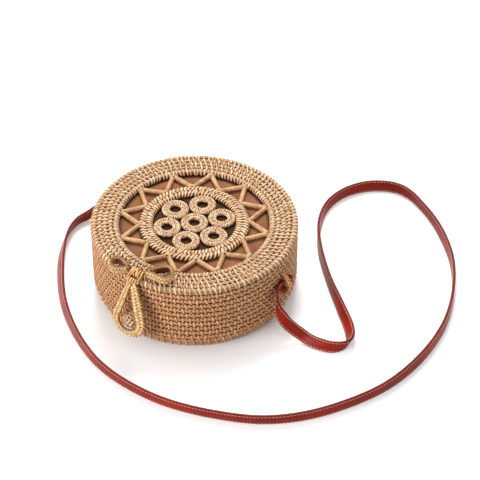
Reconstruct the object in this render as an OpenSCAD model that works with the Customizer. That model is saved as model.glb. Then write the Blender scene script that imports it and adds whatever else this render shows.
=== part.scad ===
// Round woven cross-body bag: a coiled basket drum, a hinged lid with a star and a rosette of
// open work, a knot and loop clasp, two arched lugs and a long flat leather strap.
// Units are millimetres, +Z is up, and the origin is the middle of the underside.
// The clasp faces -Y, the hinge is at +Y, and the lugs are on the X axis.

/* [Drum] */
// Outside diameter of the drum and the lid
bag_d = 200; // [180:1:220]
// Height of the seam between the drum and the lid
seam_h = 58; // [50:1:66]
// Height of the closed lid above the seam
lid_h = 17; // [16:0.5:20]
// Thickness of the woven side wall
wall_t = 6; // [5.5:0.1:6.4]
// Height of one woven row
row_pitch = 5.8; // [5.4:0.1:6.2]
// Thickness of the coiled floor
floor_t = 5.8; // [5.4:0.1:6.2]
// Inward step of the lowest row, which rounds the foot
foot_in = 4; // [3:0.5:5]
// Thickness of the fabric lining
lining_t = 1; // [0.8:0.1:1.2]

/* [Lid top] */
// Number of coils in the outer ring
ring_coils = 5; // [4:1:5]
// Distance from one coil of the outer ring to the next
ring_step = 5.25; // [5:0.05:5.4]
// Thickness of the coiled rings of the lid
ring_t = 5.6; // [5.2:0.1:6]
// Width of the band that the star fills, between the two rings
star_band = 20.2; // [18:0.2:23]
// Diameter of the cane
cane_d = 4.8; // [4:0.1:5]
// Diameter of a coil of the inner ring
inner_coil_d = 4.46; // [4:0.02:5]
// Number of coils in the inner ring
inner_coils = 3; // [2:1:3]
// Gap between neighbouring rosette discs
disc_gap = 0.86; // [0.4:0.02:1]

/* [Hinge] */
// Distance of each hinge ring from the middle
hinge_x = 14; // [10:1:18]
// Diameter of the cane of a hinge ring
hinge_cane_d = 3.2; // [2.6:0.1:3.4]
// Diameter of a hinge ring at the middle of its cane
hinge_ring_d = 17; // [16:0.5:18]

/* [Clasp] */
// Height of the middle of the knob
knob_h = 29; // [27:0.5:31]
// Diameter of the knob
knob_d = 15.6; // [14:0.2:16]
// Thickness of the knob from back to front
knob_t = 12.4; // [11:0.2:12.8]
// Diameter of the cord that ties the knob on
stem_d = 4; // [3:0.1:4.5]
// Angle at which the loop stands out from the wall at rest
loop_lean = 12; // [12:0.5:14]
// Width of the opening in the loop
loop_gap = 19; // [18:0.5:21]
// Thickness of the plaited loop
loop_t = 3; // [2.4:0.1:3.2]
// Width of the plaited band at its sides
loop_band = 6; // [5:0.2:7]
// Diameter of the pin on which the loop swings
pin_d = 2.4; // [2:0.1:2.6]
// Height of the ribbon of the bow
bow_h = 7.5; // [5:0.5:8]
// Thickness of the ribbon of the bow
bow_t = 2.4; // [1.8:0.1:2.6]

/* [Strap] */
// Width of the strap
strap_w = 12; // [10:0.5:13]
// Thickness of the strap
strap_t = 2.6; // [2:0.1:2.8]
// Distance of the middle of the lugs below the seam
lug_drop = 13; // [13:1:18]
// Height of a lug from end to end along the wall
lug_span = 22; // [21:0.5:22]
// Distance from the wall to the middle of a lug's arch
lug_out = 9; // [8:0.5:10]
// Thickness of a lug's plaited arch
lug_t = 3.4; // [3:0.1:3.6]
// Width of a lug's arch at its middle
lug_w = 6; // [5:0.2:7]

/* [Hidden] */
$fn = 48;

// Clearances: between pieces that move apart, between sewn pieces, and in the pin's bores
gap = 0.3;
seat_gap = 0.15;
bore_gap = 0.08;
// Overrun of cutting bodies
over = 1;

bag_r = bag_d / 2;
top_h = seam_h + lid_h;
mid_r = bag_r - wall_t / 2;

// Rows of the side wall, with the lowest two drawn in to round the foot
wall_rows = round(seam_h / row_pitch);
row_step = seam_h / wall_rows;
foot_shares = [1, 0.3];
function row_in(i) = i < len(foot_shares) ? foot_in * foot_shares[i] : 0;
web_share = 0.6;

// Rings of the floor, which end at the joint with the lowest wall row
floor_r = mid_r - foot_in - row_step / 2;
floor_rings = round(floor_r / row_pitch);
floor_step = floor_r / floor_rings;
foot_flat = 0.3;

// Heights in the lid
lid_z = seam_h + gap;
ring_mid_z = top_h - ring_t / 2;
ring_sink = 0.24;
ring_z = top_h - ring_t + ring_sink;
lid_rows = round((ring_z - lid_z) / row_pitch);
lid_step = (ring_z - lid_z) / lid_rows;
lining_r = mid_r - wall_t / 2 - foot_in * foot_shares[1] - gap;
lining_z = floor_t + seat_gap;
lid_lining_z = ring_z - gap - lining_t;
band_lift = 0.5;

// Coils of the open work, each pressed into the next: n coils of diameter d fill coil_width
coil_lap_share = 0.08;
function coil_width(d, n) = d * (n - (n - 1) * coil_lap_share);
function coil_steps(bore_r, d, n) = [for (i = [0 : n - 1])
    [bore_r + d / 2 + i * d * (1 - coil_lap_share), ring_mid_z]];
opening_r = bag_r - ring_t - (ring_coils - 1) * ring_step;
inner_ring_r = opening_r - star_band;
inner_bore_r = inner_ring_r - coil_width(inner_coil_d, inner_coils);
rosette_r = inner_bore_r - seat_gap;
disc_d = (rosette_r - disc_gap) * 2 / 3;
disc_hole_share = 0.42;
disc_hole_d = disc_d * disc_hole_share;
disc_coils = 2;
disc_coil_d = (disc_d - disc_hole_d) / 2 / coil_width(1, disc_coils);
// Turn of the star and of the rosette about the middle
star_turn = 21.2;
rosette_turn = 47.5;
knuckle_share = 1.12;
star_points = 12;
star_step = 360 / star_points;
star_outer_r = opening_r - gap;
tuck_share = 0.1;
star_inner_r = inner_ring_r - tuck_share * cane_d;
petals = 6;

// Hinge axis, on the back of the drum at the seam
hinge_y = bag_r;
hinge_z = seam_h + gap / 2;

// Clasp: the pin of the loop, the loop's reach down to its bar, the knob's place
pin_out = 2.2;
pin_rise = 1;
pin_y = -(bag_r + pin_out);
pin_z = top_h + pin_rise;
knuckle_d = 5.2;
knuckle_w = 10;
ear_t = 2;
latch_gap = 0.9;
loop_reach = pin_z - (knob_h - knob_d / 2) + latch_gap;
loop_gap_r = loop_gap / 2;
loop_bar = 4.5;
loop_out_r = loop_gap_r + loop_band;
loop_bar_z = loop_reach + loop_bar - loop_out_r;
loop_neck = 4;
loop_slot = 9;
loop_slot_r = 1.2;
knob_y = -(bag_r + 2 * gap + knob_t / 2);
knob_rim_r = (knob_d - knob_t) / 2;
toggle_d = 8;
toggle_t = 0.9;
toggle_y = -(mid_r - wall_t / 2 - seat_gap);

// Bow: the knot lies on the shoulder of the lid and the two loops on its coils
knot_in = 5.4;
knot_y = -(bag_r - knot_in);
knot_d = 8.4;
knot_w = 14.8;
knot_z = top_h + knot_d / 2 + seat_gap;
knot_round = 2;
ear_w = 3.6;
bow_z = top_h + seat_gap;
bow_root_out = knot_w / 2 + 3 * gap;
bow_root_r = 2.4;
// Length, greatest width and turn of each loop of the bow
bow_left_l = 18;
bow_left_w = 11;
bow_left_turn = 186;
bow_right_l = 24;
bow_right_w = 14;
bow_right_turn = 26;

// Lug: a flat arch in the radial plane, widest at its middle
lug_h = seam_h - lug_drop;
lug_arc_r = (lug_span * lug_span / 4 + lug_out * lug_out) / (2 * lug_out);
lug_tip_share = 0.4;
lug_tip_w = lug_w * lug_tip_share;
lug_lens_c = (lug_span * lug_span - (lug_w * lug_w - lug_tip_w * lug_tip_w)) / (4 * (lug_w - lug_tip_w));
lug_lens_r = lug_lens_c + lug_w / 2;

// Strap end: it passes through the lug and is doubled back behind it as a stop
strap_off = 1.8;
end_x = bag_r + strap_off + strap_t / 2;
end_front = 8;
end_back = 6;
fold_r = strap_t;

// Route of the free strap, chosen by hand from the right lug round to the left lug.
// Each entry has the place on the ground, the tilt of the strap's width in degrees
// (90 stands on edge, 0 lies flat) and the height to which its lower edge is lifted.
lug_low = lug_h - strap_w / 2;
strap_route = [
    [end_x, -end_front, 90, lug_low], [105, -14, 90, 37], [111, -21, 88, 28], [120, -22, 66, 15],
    [134, -17, 48, 3], [150, -17, 54, 0], [168, -13, 74, 0], [177, 0, 112, 0],
    [168, 17, 132, 0], [144, 39, 120, 0], [116, 64, 102, 0], [86, 96, 98, 0],
    [66, 126, 84, 0], [56, 158, 82, 0], [61, 188, 82, 0], [80, 212, 70, 0],
    [108, 222, 80, 0], [140, 210, 90, 0], [174, 186, 80, 0], [206, 152, 84, 0],
    [230, 108, 92, 0], [243, 62, 95, 0], [244, 10, 97, 0], [232, -40, 90, 0],
    [202, -92, 88, 0], [166, -127, 83, 0], [122, -148, 82, 0], [76, -160, 83, 0],
    [32, -161, 86, 0], [-8, -153, 92, 0], [-48, -133, 101, 0], [-86, -103, 112, 0],
    [-120, -62, 120, 0], [-139, -28, 108, 0], [-144, -4, 100, 0], [-138, 12, 92, 2],
    [-126, 21, 90, 13], [-113, 20, 90, 28], [-105, 14, 90, 37], [-end_x, end_front, 90, lug_low]];
// Extra rings between two points of the route
strap_fill = 1;
strap_edge = 0.6;

function unit_of(v) = v / norm(v);
function edge_height(a) = strap_w / 2 * abs(sin(a)) + strap_t / 2 * abs(cos(a));
function stop_at(i) = let (n = len(strap_route)) strap_route[max(0, min(n - 1, i))];
// A smooth curve through the four neighbouring stops, at the share f of the middle span
function smooth(a, b, c, d, f) = ((2 * b) + (c - a) * f + (2 * a - 5 * b + 4 * c - d) * f * f
    + (3 * b - a - 3 * c + d) * f * f * f) / 2;
function stop_between(i, f) = f == 0 ? stop_at(i)
    : smooth(stop_at(i - 1), stop_at(i), stop_at(i + 1), stop_at(i + 2), f);
strap_stops = [for (i = [0 : len(strap_route) - 2], k = [0 : strap_fill])
    stop_between(i, k / (strap_fill + 1)), stop_at(len(strap_route) - 1)];
strap_line = [for (s = strap_stops) [s[0], s[1], edge_height(s[2]) + max(0, s[3])]];
// Both ends of the strap leave their lugs square to the Y axis
function heading(i) = let (n = len(strap_line)) i == 0 || i == n - 1 ? [0, -1, 0]
    : unit_of(strap_line[i + 1] - strap_line[i - 1]);
function width_way(t, a) = let (flat = unit_of([-t[1], t[0], 0]), w = flat * cos(a) + [0, 0, sin(a)])
    unit_of(w - (w * t) * t);
// Half section of the strap: an oblong with its corners taken off
strap_section = let (w = strap_w / 2, t = strap_t / 2, e = strap_edge)
    [[w - e, t], [w, t - e], [w, e - t], [w - e, -t], [e - w, -t], [-w, e - t], [-w, t - e], [e - w, t]];
function strap_ring(i) = let (t = heading(i), w = width_way(t, strap_stops[i][2]), n = cross(t, w))
    [for (p = strap_section) strap_line[i] + p[0] * w + p[1] * n];

// A row of round coils along the given middles, held together by a thinner web.
// web_way points to the right of the way in which the middles run
module coil_profile(middles, d, web_way) {
    for (m = middles) translate(m) circle(d = d);
    n = len(middles);
    side = web_way * d * web_share / 2;
    if (n > 1) polygon(concat([for (m = middles) m + side],
        [for (i = [n - 1 : -1 : 0]) middles[i] - side]));
}

// A hinge ring's space, grown by a clearance, about the hinge axis
module hinge_ring_space(x, grow) {
    translate([x, hinge_y, hinge_z]) rotate([0, 90, 0])
        rotate_extrude() translate([hinge_ring_d / 2, 0]) circle(r = hinge_cane_d / 2 + grow);
}

module both_hinge_spaces(grow) {
    for (side = [-1, 1]) hinge_ring_space(side * hinge_x, grow);
}

module along_front(y, z, r, length) {
    translate([0, y, z]) rotate([90, 0, 0]) cylinder(h = length, r = r);
}

module base_floor() {
    color("burlywood") rotate_extrude($fn = 96) intersection() {
        union() {
            coil_profile([for (i = [0 : floor_rings - 1])
                [floor_r - (i + 0.5) * floor_step, floor_t / 2 - foot_flat]], floor_t, [0, 1]);
            square([floor_step, floor_t - foot_flat]);
        }
        square([floor_r, floor_t]);
    }
}

module base_wall() {
    color("burlywood") difference() {
        rotate_extrude($fn = 96) difference() {
            intersection() {
                coil_profile([for (i = [0 : wall_rows - 1])
                    [mid_r - row_in(i), (i + 0.5) * row_step]], wall_t, [1, 0]);
                square([bag_r + over, seam_h]);
            }
            square([floor_r, floor_t]);
        }
        both_hinge_spaces(seat_gap);
        along_front(-(bag_r - wall_t - over), knob_h, stem_d / 2 + bore_gap, wall_t + 2 * over);
    }
}

module base_lining_floor() {
    color("saddlebrown") translate([0, 0, lining_z])
        cylinder(h = lining_t, r = lining_r - lining_t - seat_gap, $fn = 96);
}

module lining_band(z0, z1) {
    translate([0, 0, z0]) difference() {
        cylinder(h = z1 - z0, r = lining_r, $fn = 96);
        translate([0, 0, -over]) cylinder(h = z1 - z0 + 2 * over, r = lining_r - lining_t, $fn = 96);
    }
}

module base_lining_wall() {
    color("saddlebrown") difference() {
        lining_band(lining_z + band_lift, seam_h - band_lift);
        both_hinge_spaces(seat_gap);
    }
}

// The knob is a round button with a full rim, turned about the axis of its cord
module knob() {
    color("khaki") translate([0, knob_y, knob_h]) rotate([90, 0, 0]) rotate_extrude() {
        intersection() {
            translate([knob_rim_r, 0]) circle(d = knob_t);
            translate([0, -knob_t]) square([knob_d, 2 * knob_t]);
        }
        translate([0, -knob_t / 2]) square([knob_rim_r, knob_t]);
    }
}

// The cord that ties the knob on, with its flat toggle inside the wall
module knob_cord() {
    color("tan") {
        along_front(toggle_y, knob_h, stem_d / 2, toggle_y - knob_y - knob_t / 2);
        along_front(toggle_y + toggle_t, knob_h, toggle_d / 2, toggle_t);
    }
}

module hinge_ring_left() {
    color("peru") hinge_ring_space(-hinge_x, 0);
}

module hinge_ring_right() {
    color("peru") hinge_ring_space(hinge_x, 0);
}

// The arch of a lug: a flat bar bent in the radial plane, with its sides drawn in to the wall
module lug() {
    color("peru") difference() {
        intersection() {
            translate([bag_r + lug_out - lug_arc_r, 0, lug_h]) rotate([90, 0, 0])
                rotate_extrude() translate([lug_arc_r - lug_t / 2, -lug_w / 2]) square([lug_t, lug_w]);
            translate([bag_r - over, 0, lug_h]) rotate([90, 0, 90])
                linear_extrude(lug_out + lug_t + 2 * over) intersection() {
                    translate([lug_lens_c, 0]) circle(r = lug_lens_r, $fn = 128);
                    translate([-lug_lens_c, 0]) circle(r = lug_lens_r, $fn = 128);
                }
        }
        cylinder(h = seam_h, r = bag_r + seat_gap / 2, $fn = 96);
    }
}

module strap_lug_right() {
    lug();
}

module strap_lug_left() {
    rotate([0, 0, 180]) lug();
}

module strap_end() {
    color("firebrick") translate([end_x, 0, lug_h - strap_w / 2]) linear_extrude(strap_w) {
        translate([-strap_t / 2, -end_front]) square([strap_t, end_front + end_back]);
        translate([fold_r, end_back]) intersection() {
            difference() {
                circle(r = fold_r + strap_t / 2);
                circle(r = fold_r - strap_t / 2);
            }
            translate([-2 * fold_r, 0]) square([4 * fold_r, 2 * fold_r]);
        }
        translate([2 * fold_r - strap_t / 2, lug_w / 2 + gap])
            square([strap_t, end_back - lug_w / 2 - gap]);
    }
}

module strap_end_right() {
    strap_end();
}

module strap_end_left() {
    rotate([0, 0, 180]) strap_end();
}

// The free strap: one closed skin swept along the route
module strap() {
    rings = len(strap_line);
    m = len(strap_section);
    points = [for (i = [0 : rings - 1]) each strap_ring(i)];
    sides = [for (i = [0 : rings - 2], k = [0 : m - 1])
        let (a = i * m + k, b = i * m + (k + 1) % m) each [[a, a + m, b + m], [a, b + m, b]]];
    first = [for (k = [0 : m - 1]) k];
    last = [for (k = [m - 1 : -1 : 0]) (rings - 1) * m + k];
    color("firebrick") polyhedron(points, concat(sides, [first], [last]));
}

module lid_wall() {
    color("burlywood") difference() {
        rotate_extrude($fn = 96) intersection() {
            coil_profile([for (i = [0 : lid_rows - 1])
                [mid_r, lid_z + (i + 0.5) * lid_step]], wall_t, [1, 0]);
            translate([0, lid_z]) square([bag_r + over, ring_z - lid_z]);
        }
        both_hinge_spaces(gap);
    }
}

module lid_ring() {
    color("wheat") rotate_extrude($fn = 96) intersection() {
        coil_profile([for (i = [0 : ring_coils - 1])
            [opening_r + ring_t / 2 + i * ring_step, ring_mid_z]], ring_t, [0, -1]);
        translate([0, ring_z]) square([bag_r + over, ring_t]);
    }
}

// One straight run of the cane from the star's outer point a to its inner point b
module cane_run(a, b) {
    way = b - a;
    translate([a[0], a[1], ring_mid_z]) rotate([0, 90, atan2(way[1], way[0])])
        cylinder(h = norm(way), d = cane_d, $fn = 32);
}

function star_corner(r, a) = [r * cos(a), r * sin(a)];

// One point of the star: a cane bent back at the outer ring, with a wrapped knuckle at each
// bend, and cut off where it meets its neighbours' ends at the inner ring
module star_point(i) {
    far = 2 * bag_r;
    outer = star_corner(star_outer_r, 0);
    color("wheat") rotate([0, 0, star_turn + i * star_step]) intersection() {
        union() {
            for (side = [-1, 1]) {
                inner = star_corner(star_inner_r, side * star_step / 2);
                cane_run(outer, inner);
                translate([inner[0], inner[1], ring_mid_z]) sphere(d = cane_d * knuckle_share, $fn = 32);
            }
            translate([outer[0], outer[1], ring_mid_z]) sphere(d = cane_d * knuckle_share, $fn = 32);
        }
        translate([0, 0, top_h - ring_t]) linear_extrude(ring_t) intersection() {
            difference() {
                circle(r = opening_r - seat_gap, $fn = 96);
                circle(r = inner_ring_r + seat_gap, $fn = 96);
            }
            polygon([[0, 0], star_corner(far, -star_step / 2), star_corner(far, star_step / 2)]);
        }
    }
}

module inner_ring() {
    color("burlywood") rotate_extrude($fn = 96)
        coil_profile(coil_steps(inner_bore_r, inner_coil_d, inner_coils), inner_coil_d, [0, -1]);
}

// A rosette disc: two turns of coil round an open eye
module rosette_disc() {
    color("tan") rotate_extrude($fn = 64)
        coil_profile(coil_steps(disc_hole_d / 2, disc_coil_d, disc_coils), disc_coil_d, [0, -1]);
}

module petal(i) {
    rotate([0, 0, rosette_turn + i * 360 / petals]) translate([disc_d + disc_gap, 0, 0]) rosette_disc();
}

module lid_lining_top() {
    color("saddlebrown") translate([0, 0, lid_lining_z]) cylinder(h = lining_t, r = lining_r, $fn = 96);
}

module lid_lining_wall() {
    color("saddlebrown") difference() {
        lining_band(lid_z + band_lift, lid_lining_z - seat_gap);
        both_hinge_spaces(gap);
    }
}

// The knot of the bow, a wrapped barrel with two ears that hold the pin
module bow_knot() {
    color("goldenrod") difference() {
        union() {
            translate([-knot_w / 2, knot_y, knot_z]) rotate([0, 90, 0]) rotate_extrude() {
                square([knot_d / 2 - knot_round, knot_w]);
                translate([0, knot_round]) square([knot_d / 2, knot_w - 2 * knot_round]);
                for (e = [knot_round, knot_w - knot_round])
                    translate([knot_d / 2 - knot_round, e]) circle(r = knot_round);
            }
            for (side = [-1, 1])
                translate([side * (knuckle_w / 2 + seat_gap + ear_t / 2), pin_y, pin_z])
                    rotate([90, 0, 90]) linear_extrude(ear_t, center = true) {
                        circle(d = knuckle_d);
                        rotate(atan2(knot_z - pin_z, knot_y - pin_y)) translate([0, -ear_w / 2])
                            square([norm([knot_y - pin_y, knot_z - pin_z]), ear_w]);
                    }
        }
        translate([-knot_w, pin_y, pin_z]) rotate([0, 90, 0]) cylinder(h = 2 * knot_w, d = pin_d + bore_gap);
    }
}

// A teardrop of ribbon that stands on its edge
module bow_loop(length, width, turn) {
    tip_r = width / 2;
    color("goldenrod") translate([0, knot_y, bow_z]) rotate([0, 0, turn])
        translate([bow_root_out, 0, 0]) linear_extrude(bow_h) difference() {
            hull() {
                translate([bow_root_r, 0]) circle(r = bow_root_r);
                translate([length - tip_r, 0]) circle(r = tip_r);
            }
            hull() {
                translate([bow_root_r + bow_t, 0]) circle(r = bow_root_r / 2);
                translate([length - tip_r, 0]) circle(r = tip_r - bow_t);
            }
        }
}

module bow_loop_left() {
    bow_loop(bow_left_l, bow_left_w, bow_left_turn);
}

module bow_loop_right() {
    bow_loop(bow_right_l, bow_right_w, bow_right_turn);
}

module clasp_pin() {
    length = knuckle_w + 2 * (seat_gap + ear_t);
    color("goldenrod") translate([-length / 2, pin_y, pin_z]) rotate([0, 90, 0])
        cylinder(h = length, d = pin_d);
}

// The plaited loop: a knuckle on the pin and a band that opens round the knob
module clasp_loop() {
    color("gold") translate([0, pin_y, pin_z]) rotate([-loop_lean, 0, 0]) difference() {
        union() {
            translate([-knuckle_w / 2, 0, 0]) rotate([0, 90, 0]) cylinder(h = knuckle_w, d = knuckle_d);
            rotate([90, 0, 0]) linear_extrude(loop_t, center = true) difference() {
                union() {
                    translate([-knuckle_w / 2, -loop_neck]) square([knuckle_w, loop_neck]);
                    hull() {
                        translate([0, -loop_bar_z]) circle(r = loop_out_r);
                        translate([-knuckle_w / 2, -loop_neck - loop_t]) square([knuckle_w, loop_t]);
                    }
                }
                hull() {
                    translate([0, loop_gap_r - loop_reach]) circle(r = loop_gap_r);
                    translate([0, -loop_slot - loop_slot_r]) circle(r = loop_slot_r);
                }
            }
        }
        translate([-knuckle_w, 0, 0]) rotate([0, 90, 0]) cylinder(h = 2 * knuckle_w, d = pin_d + 2 * bore_gap);
    }
}

base_floor();
base_wall();
base_lining_floor();
base_lining_wall();
knob();
knob_cord();
hinge_ring_left();
hinge_ring_right();
strap_lug_left();
strap_lug_right();
strap_end_left();
strap_end_right();
strap();
lid_wall();
lid_ring();
inner_ring();
star_point(0);  // star_point_1
star_point(1);  // star_point_2
star_point(2);  // star_point_3
star_point(3);  // star_point_4
star_point(4);  // star_point_5
star_point(5);  // star_point_6
star_point(6);  // star_point_7
star_point(7);  // star_point_8
star_point(8);  // star_point_9
star_point(9);  // star_point_10
star_point(10);  // star_point_11
star_point(11);  // star_point_12
rosette_disc();  // rosette_centre
petal(0);  // rosette_disc_1
petal(1);  // rosette_disc_2
petal(2);  // rosette_disc_3
petal(3);  // rosette_disc_4
petal(4);  // rosette_disc_5
petal(5);  // rosette_disc_6
lid_lining_top();
lid_lining_wall();
bow_knot();
bow_loop_left();
bow_loop_right();
clasp_pin();
clasp_loop();
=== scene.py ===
"""Looks of the round woven bag: sewn coils, cane star, rosette, plaited clasp and leather strap.

Lengths are millimetres in the part's own frame: +Z up, the origin in the middle of the underside,
the clasp at -Y and the hinge at +Y. Materials, lamps and the stage are in metres.
"""

import math

import bpy
import numpy as np
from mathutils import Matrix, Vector


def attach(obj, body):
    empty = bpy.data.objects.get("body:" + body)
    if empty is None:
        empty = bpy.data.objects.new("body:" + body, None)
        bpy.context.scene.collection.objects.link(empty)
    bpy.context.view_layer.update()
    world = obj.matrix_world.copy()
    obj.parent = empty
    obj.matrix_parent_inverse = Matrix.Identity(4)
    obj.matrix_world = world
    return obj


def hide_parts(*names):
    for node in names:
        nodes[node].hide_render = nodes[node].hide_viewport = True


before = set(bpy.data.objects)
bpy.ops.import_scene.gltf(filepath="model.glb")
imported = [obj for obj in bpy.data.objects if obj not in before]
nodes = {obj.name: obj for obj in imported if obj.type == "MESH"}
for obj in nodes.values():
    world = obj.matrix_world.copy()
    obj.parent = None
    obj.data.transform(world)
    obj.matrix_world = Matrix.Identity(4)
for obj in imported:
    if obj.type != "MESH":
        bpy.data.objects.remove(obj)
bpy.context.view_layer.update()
rng = np.random.default_rng(7)

MM = 0.001
TAU = 2 * math.pi
X, Y, UP = np.eye(3)

# Sizes and places as in the part's source
BAG_R = 100.0
SEAM_H = 58.0
TOP_H = 75.0
WALL_T = 6.0
WALL_ROWS = 10
ROW_STEP = SEAM_H / WALL_ROWS
FOOT_IN = [4.0, 1.2]
MID_R = BAG_R - WALL_T / 2
FLOOR_T = 5.8
FLOOR_R = 90.1
FLOOR_RINGS = 16
FLOOR_STEP = FLOOR_R / FLOOR_RINGS
LID_Z = 58.3
LID_ROWS = 2
RING_T = 5.6
RING_MID_Z = TOP_H - RING_T / 2
RING_Z = TOP_H - RING_T + 0.24
LID_STEP = (RING_Z - LID_Z) / LID_ROWS
LID_LINING_Z = 69.0         # within the lining's thickness, just below its upper face
OPENING_R = 73.4
RING_COILS = 5
RING_STEP = (BAG_R - OPENING_R - RING_T) / (RING_COILS - 1)
INNER_R = 53.2
DISC_D = 26.35
DISC_GAP = 0.86
INNER_BORE = DISC_D * 1.5 + DISC_GAP + 0.15
STAR_POINTS = 12
STAR_TURN = 21.2
ROSETTE_TURN = 47.5
PIN = np.array([0.0, -102.2, 76.0])
LOOP_LEAN = math.radians(12)
LOOP_REACH = 55.7
KNOB = np.array([0.0, -106.8, 29.0])
KNOB_SQUASH = np.array([1, 12.4 / 15.6, 1])
KNOT = np.array([0.0, -94.6, 79.35])
BOW_Z = 75.15
BOW_H = 7.5
HINGE = np.array([0.0, 100.0, 58.15])
HINGE_X = 14.0
LUG_H = 45.0
LUG_MID_X = 97.78
LUG_R = 11.22
STRAP_W = 12.0
STRAP_T = 2.6
STRAP_END_X = 103.1

# The strap's route, as in the part's source: place on the ground, tilt of the strap's width in
# degrees (90 stands on edge) and the height to which its lower edge is lifted
STRAP_ROUTE = np.array([
    [103.1, -8, 90, 39], [105, -14, 90, 37], [111, -21, 88, 28], [120, -22, 66, 15],
    [134, -17, 48, 3], [150, -17, 54, 0], [168, -13, 74, 0], [177, 0, 112, 0],
    [168, 17, 132, 0], [144, 39, 120, 0], [116, 64, 102, 0], [86, 96, 98, 0],
    [66, 126, 84, 0], [56, 158, 82, 0], [61, 188, 82, 0], [80, 212, 70, 0],
    [108, 222, 80, 0], [140, 210, 90, 0], [174, 186, 80, 0], [206, 152, 84, 0],
    [230, 108, 92, 0], [243, 62, 95, 0], [244, 10, 97, 0], [232, -40, 90, 0],
    [202, -92, 88, 0], [166, -127, 83, 0], [122, -148, 82, 0], [76, -160, 83, 0],
    [32, -161, 86, 0], [-8, -153, 92, 0], [-48, -133, 101, 0], [-86, -103, 112, 0],
    [-120, -62, 120, 0], [-139, -28, 108, 0], [-144, -4, 100, 0], [-138, 12, 92, 2],
    [-126, 21, 90, 13], [-113, 20, 90, 28], [-105, 14, 90, 37], [-103.1, 8, 90, 39]], float)
STRAP_FILL = 7              # points added between two of the route
SEAM_IN = 1.45              # the strap's seams, in from its edges
SEAM_SHARE = 0.9            # thickness of the leather under a seam, as a share of the strap's
THREAD_PITCH, THREAD_LENGTH = 3.4, 2.3
THREAD_RISE = STRAP_T / 2 * 0.93 + np.array([-0.25, 0.12, 0.2, 0.12, -0.25])

# Stitches and their profiles, as stitch_row, bridge and wrap take them. The pitches of the wall
# and of the ring's bridged coils follow those measured in the photograph. The ring's first coil
# is wrapped, its last is wrapped over the rim, and the others are bridged.
# sides weights the painted shade on the two edges of each stitch; the wall's is darker on the side
# away from the light
WALL_STITCH = dict(pitch=7.0, width=3.0, slant=-0.14, swell=0.6, sides=(1.1, 1.3))
WALL_ARCH = dict(way=0, radius=WALL_T / 2 + 0.6, span=4.6, back=2.6)
FLOOR_STITCH = dict(pitch=6.6, width=2.4, slant=0.12, swell=0.2, cols=3)
FLOOR_ARCH = dict(way=-90, radius=FLOOR_T / 2 - 0.35, span=4.6, reach=3.9, steps=7)
RING_STITCH = dict(swell=0.95, taper=0.35, loose=1.3, sides=(1.3, 1.3))
RING_FIRST = dict(pitch=3.6, width=3.1, slant=0.0)
RING_FIRST_WRAP = dict(a0=22, a1=262, radius=RING_T / 2 + 0.7)
RING_LAST = dict(pitch=4.7, width=3.6, slant=-0.2)
RING_LAST_WRAP = dict(a0=-40, a1=155, radius=RING_T / 2 + 0.8, tuck=0.4)
RING_BRIDGED = dict(pitch=5.2, width=3.1, slant=-0.2)
RING_ARCH = dict(way=90, radius=RING_T / 2 + 0.9, span=4.3, reach=3.7)
INNER_STITCH = dict(swell=0.9, taper=0.4)
INNER_COUNT = 82
INNER_FILL = 0.84           # width of the inner ring's wraps, as a share of their pitch
INNER_RISE = 2.75           # height of the wraps over the middle of the rings
INNER_GROOVE = 6.45
DISC_STITCH = dict(pitch=2.6, width=1.5, swell=0.5)
# Rows of a disc: distance from its axis, height over its middle and outward direction in degrees
DISC_ROWS = ((6.2, 1.45, 125), (7.9, 1.98, 95), (9.6, 2.0, 90), (11.3, 1.95, 80), (12.7, 1.0, 40))

# Plaits: their strands, and in shares of width and thickness half a strand and half the core,
# which is all in the dark colour as painted shade between the strands
PLAIT_COUNT = 3
PLAIT_STRAND = (0.22, 0.27)
PLAIT_CORE = (0.34, 0.16)

# Turns of rope and straw: half the width and half the thickness of a strand
KNOT_STRAND, SLANT_STRAND, PIN_STRAND = (1.16, 0.8), (1.2, 0.6), (0.95, 0.75)
LOOP_STRAND, KNOB_STRAND, HINGE_STRAND = (1.1, 0.65), (1.38, 1.05), (0.8, 0.8)
BINDING, THREAD = (0.7, 0.35), (0.34, 0.28)

# Camera fitted to the photograph, with its focal length in pixels of the photograph
CAMERA_EYE = (848.1, -1201.4, 1379.1)
CAMERA_TARGET = (29.34, 35.66, 37.70)
FOCAL_PX, PHOTO_PX, SENSOR = 2030.56, 480, 36.0
CAMERA_FAR = 20             # metres

# Stage, in metres: the floor's half side and cells, where its glow grows round the foot and then
# to plain white, and each lamp's place, watts and size
STAGE_HALF, STAGE_CELLS = 6.0, 8
# painted light: the floor's glow, left out round the foot about a middle set off towards the
# shadow's side
SHADOW_MID, SHADOW_AT, SHADOW_GLOW = (0.019, -0.016), (0.076, 0.112), 0.26
WHITE_AT = (0.32, 0.8)
LAMPS = (("key", (-0.75, 1.1, 2.0), 46, 0.7), ("front", (-0.95, -1.95, 0.9), 36, 1.3),
         ("side", (2.0, -0.6, 1.2), 6, 1.6))
LAMP_AIM = (0.03, 0.0, 0.04)
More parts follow.
